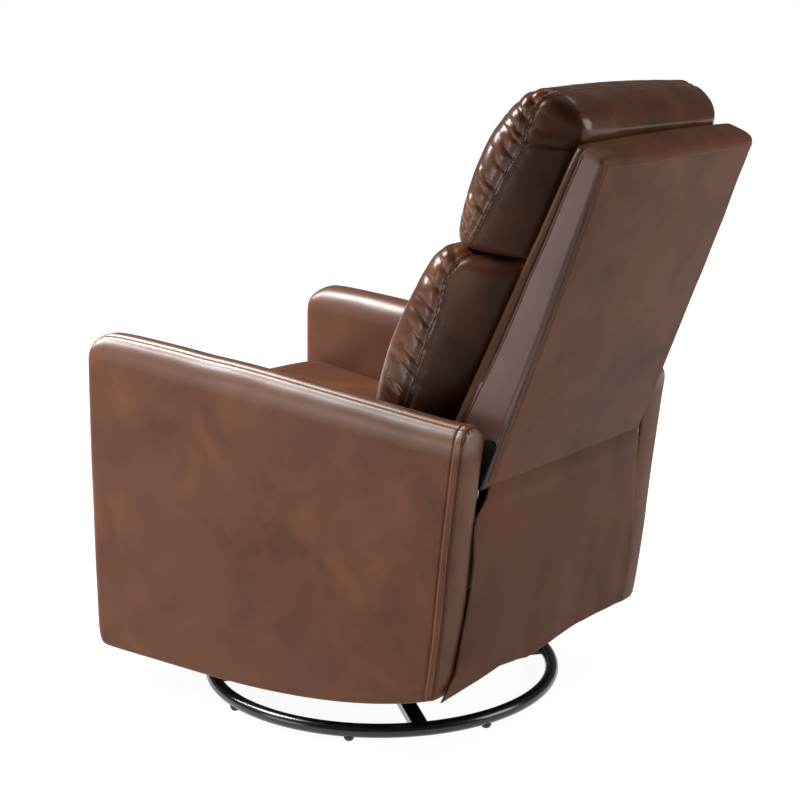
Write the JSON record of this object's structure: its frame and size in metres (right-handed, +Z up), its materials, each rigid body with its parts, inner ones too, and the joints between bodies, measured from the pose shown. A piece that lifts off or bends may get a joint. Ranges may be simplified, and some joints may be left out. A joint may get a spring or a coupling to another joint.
{
  "type": "swivel glider recliner",
  "caption": "Upholstered armchair on a round tube base that swivels, glides on hanging links, reclines its back and folds out a footrest.",
  "frame": {"origin": "on the floor under the middle of the whole chair's box, feet down", "axes": "+Z up; the chair faces -Y; +X is the sitter's left"},
  "size_m": [0.6554, 0.9876, 1.0791],
  "materials": {
    "black_enamel": "gloss black enamel",
    "glide_plastic": "moulded black",
    "steel": "zinc plated",
    "dark_steel": "satin black",
    "plywood": "raw plywood",
    "leather": "mottled mid brown, pebbled, satin",
    "pillow_leather": "warm mid brown, glossier",
    "black_plastic": "moulded black"
  },
  "bodies": {
    "base": {"base_ring": "black_enamel", "base_cross": "black_enamel", "foot_1": "glide_plastic", "foot_2": "glide_plastic", "foot_3": "glide_plastic", "foot_4": "glide_plastic", "foot_5": "glide_plastic", "foot_6": "glide_plastic", "foot_7": "glide_plastic", "foot_8": "glide_plastic", "bearing_lower_race": "steel", "bearing_ball_cage": "steel"},
    "swivel": {"bearing_upper_race": "steel", "swivel_plate": "dark_steel", "glider_bracket_left": "dark_steel", "glider_bracket_right": "dark_steel", "glider_tie_front": "dark_steel", "glider_tie_rear": "dark_steel"},
    "front_links": {"glide_link_front_left": "steel", "glide_link_front_right": "steel"},
    "rear_links": {"glide_link_rear_left": "steel", "glide_link_rear_right": "steel"},
    "seat": {"carriage_rail_left": "dark_steel", "carriage_rail_right": "dark_steel", "carriage_tube_front": "dark_steel", "carriage_tube_rear": "dark_steel", "seat_side_panel_left": "plywood", "seat_side_panel_right": "plywood", "seat_front_rail": "plywood", "seat_rear_rail": "plywood", "seat_spring_1": "steel", "seat_spring_2": "steel", "seat_spring_3": "steel", "seat_spring_4": "steel", "mechanism_plate_left": "steel", "mechanism_plate_right": "steel", "seat_cushion": "leather", "arm_left": "leather", "arm_right": "leather", "rear_skirt": "leather", "rear_stretcher": "plywood", "release_guide": "black_plastic", "release_cable": "black_plastic"},
    "footrest_arms": {"footrest_link_a_left": "steel", "footrest_link_a_right": "steel", "footrest_torque_tube": "dark_steel"},
    "footrest_slides": {"footrest_link_b_left": "steel", "footrest_link_b_right": "steel"},
    "footrest_braces": {"footrest_link_c_left": "steel", "footrest_link_c_right": "steel"},
    "footrest_panel": {"footrest_link_d_left": "steel", "footrest_link_d_right": "steel", "footrest_board": "plywood", "footrest_pad": "leather"},
    "back": {"back_frame": "leather", "back_bracket_left": "dark_steel", "back_bracket_right": "dark_steel", "head_pillow": "pillow_leather", "lumbar_pillow": "pillow_leather"},
    "release": {"release_pull": "black_plastic"}
  },
  "joints": [
    {"name": "swivel", "type": "hinge", "parent": "base", "child": "swivel", "pos_m": [0, -0.08879, 0.045], "axis": [0, 0, 1], "continuous": true},
    {"name": "front_link_swing", "type": "hinge", "parent": "swivel", "child": "front_links", "pos_m": [0, -0.20379, 0.195], "axis": [1, 0, 0], "range_deg": [-15, 15]},
    {"name": "glide", "type": "hinge", "parent": "front_links", "child": "seat", "pos_m": [0, -0.20379, 0.077], "axis": [1, 0, 0], "range_deg": [-15, 15]},
    {"name": "rear_link_swing", "type": "hinge", "parent": "swivel", "child": "rear_links", "pos_m": [0, 0.02621, 0.195], "axis": [1, 0, 0], "range_deg": [-15, 15]},
    {"name": "footrest", "type": "hinge", "parent": "seat", "child": "footrest_arms", "pos_m": [0, -0.37879, 0.3], "axis": [-1, 0, 0], "range_deg": [0, 78]},
    {"name": "footrest_cross", "type": "hinge", "parent": "footrest_arms", "child": "footrest_slides", "pos_m": [0, -0.39931, 0.19448], "axis": [-1, 0, 0], "range_deg": [-156, 0]},
    {"name": "footrest_brace", "type": "hinge", "parent": "footrest_arms", "child": "footrest_braces", "pos_m": [0, -0.41982, 0.08895], "axis": [-1, 0, 0], "range_deg": [-156, 0]},
    {"name": "footrest_tilt", "type": "hinge", "parent": "footrest_slides", "child": "footrest_panel", "pos_m": [0, -0.40118, 0.30196], "axis": [-1, 0, 0], "range_deg": [0, 156]},
    {"name": "recline", "type": "hinge", "parent": "seat", "child": "back", "pos_m": [0, 0.2744, 0.46181], "axis": [-1, 0, 0], "range_deg": [0, 35]},
    {"name": "release", "type": "slide", "parent": "seat", "child": "release", "axis": [0, 0, 1], "range_m": [0, 0.02], "stiffness_N_per_m": 300, "springref_m": -0.003}
  ],
  "couplings": [
    {"joint": "front_link_swing", "follows": "glide", "ratio": -1},
    {"joint": "rear_link_swing", "follows": "glide", "ratio": -1},
    {"joint": "footrest_cross", "follows": "footrest", "ratio": -2},
    {"joint": "footrest_brace", "follows": "footrest", "ratio": -2},
    {"joint": "footrest_tilt", "follows": "footrest", "ratio": 2}
  ]
}
